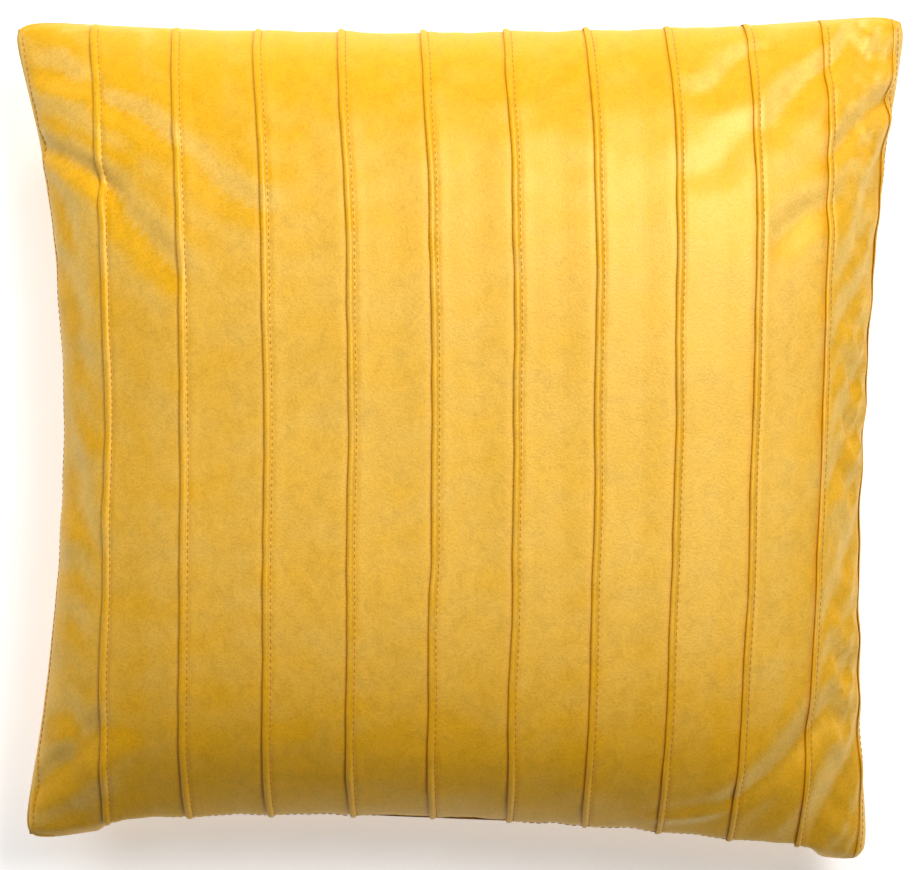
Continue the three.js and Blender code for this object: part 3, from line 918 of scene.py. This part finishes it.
# Moulded nylon filament, dyed to match the tape, slightly glossy.
COIL_MATERIAL = plain_cloth("nylon_filament", "#C4860E", "#DB9C18", 1.5, 0.38, 0.02, 0.0)
# Spun-bonded polypropylene: white, with a faint fibrous grain.
PAD_MATERIAL = plain_cloth("spunbond_case", "#E6E5E0", "#F6F5F1", 2.0, 0.85, 0.15)
# Loose polyester fibre: white and fluffy.
FIBRE_MATERIAL = plain_cloth("polyester_fibre", "#EFEFEC", "#FFFFFF", 3.0, 0.95, 1.5, 0.4)
WHITE_THREAD_MATERIAL = plain_cloth("white_thread", "#D8D7D2", "#F2F1ED", 0.35, 0.7, 0.1)
TAPE_MATERIAL = woven_tape()
METAL_MATERIAL = plated_metal()


def dress(obj, finish, solid):
    """Gives a piece its material and slot, and puts it on the pillow in place of a solid."""
    obj.data.materials.clear()
    obj.data.materials.append(finish)
    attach(obj, "pillow")
    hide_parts(solid)
    return obj


# ---- the pieces ----
cover_front = dress(front_panel(), VELVET_MATERIAL, "cover_front")
cover_back = dress(back_panel(), VELVET_MATERIAL, "cover_back")
pad_front = pad_half("pad_case_front_cloth", FRONT, 1)
dress(pad_front, PAD_MATERIAL, "pad_case_front")
pad_back = pad_half("pad_case_back_cloth", BACK, -1)
dress(pad_back, PAD_MATERIAL, "pad_case_back")
dress(filling(), FIBRE_MATERIAL, "fibre_fill")

for k in range(TUCKS):
    dress(tuck_row(k), THREAD_MATERIAL, f"tuck_stitching_{k + 1:02d}")
cover_seam = seam_row("cover_seam_stitches", COVER_SEAM_INSET, 3)
dress(cover_seam, THREAD_MATERIAL, "cover_seam_stitching")
pad_seam = seam_row("pad_seam_stitches", PAD_SEAM_INSET, 4)
dress(pad_seam, WHITE_THREAD_MATERIAL, "pad_seam_stitching")
for name, surface, side in (("front", front_surface, 1), ("back", back_surface, -1)):
    dress(zip_row(f"zip_stitches_{name}", surface, side), THREAD_MATERIAL,
          f"zip_stitching_{name}")
dress(zip_coil("zip_coil_front_filament", 1), COIL_MATERIAL, "zip_coil_front")
dress(zip_coil("zip_coil_back_filament", -1), COIL_MATERIAL, "zip_coil_back")

# The solids that are shown as they are, each with its material.
SHOWN_SOLIDS = {
    "zip_tape_front": TAPE_MATERIAL, "zip_tape_back": TAPE_MATERIAL,
    "zip_top_stop_front": METAL_MATERIAL, "zip_top_stop_back": METAL_MATERIAL,
    "zip_bottom_stop": METAL_MATERIAL, "zip_slider": METAL_MATERIAL, "zip_pull": METAL_MATERIAL,
}
for name, finish in SHOWN_SOLIDS.items():
    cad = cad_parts[name]
    cad.data.materials.clear()
    cad.data.materials.append(finish)

# ---- floor and light, in metres ----
# The floor glows a little, so that it stays an even white around the pillow.
bpy.ops.mesh.primitive_plane_add(size=8, location=(0, 0, -0.0005))
floor = bpy.context.object
floor.name = "floor"
floor_material, _, floor_shader = material("matt_white_paper")
floor_shader.inputs["Base Color"].default_value = (0.93, 0.93, 0.93, 1)
floor_shader.inputs["Roughness"].default_value = 0.9
floor_shader.inputs["Emission Color"].default_value = (1, 1, 1, 1)
floor_shader.inputs["Emission Strength"].default_value = 0.42
floor.data.materials.append(floor_material)

world = bpy.data.worlds.new("studio")
bpy.context.scene.world = world
world.use_nodes = True
world.node_tree.nodes["Background"].inputs["Color"].default_value = (1, 1, 1, 1)
world.node_tree.nodes["Background"].inputs["Strength"].default_value = 0.1


def softbox(name, place, aim, size, watts):
    """A flat rectangular light at a place, turned to face another."""
    light = bpy.data.lights.new(name, "AREA")
    light.shape = "RECTANGLE"
    light.size, light.size_y = size
    light.energy = watts
    lamp = bpy.data.objects.new(name, light)
    lamp.location = place
    lamp.rotation_euler = (Vector(aim) - Vector(place)).to_track_quat("-Z", "Y").to_euler()
    bpy.context.scene.collection.objects.link(lamp)
    return lamp


key = softbox("key", (-0.38, 1.3, 0.9), (-0.05, 0.02, 0.08), (1.1, 0.35), 18.2)
key.visible_glossy = False  # it lights the velvet but puts no shine on it; the other one does
softbox("overhead", (0.62, 0.58, 1.4), (0.1, 0.05, 0.08), (0.6, 0.6), 17)
bpy.context.scene.view_settings.view_transform = "Standard"
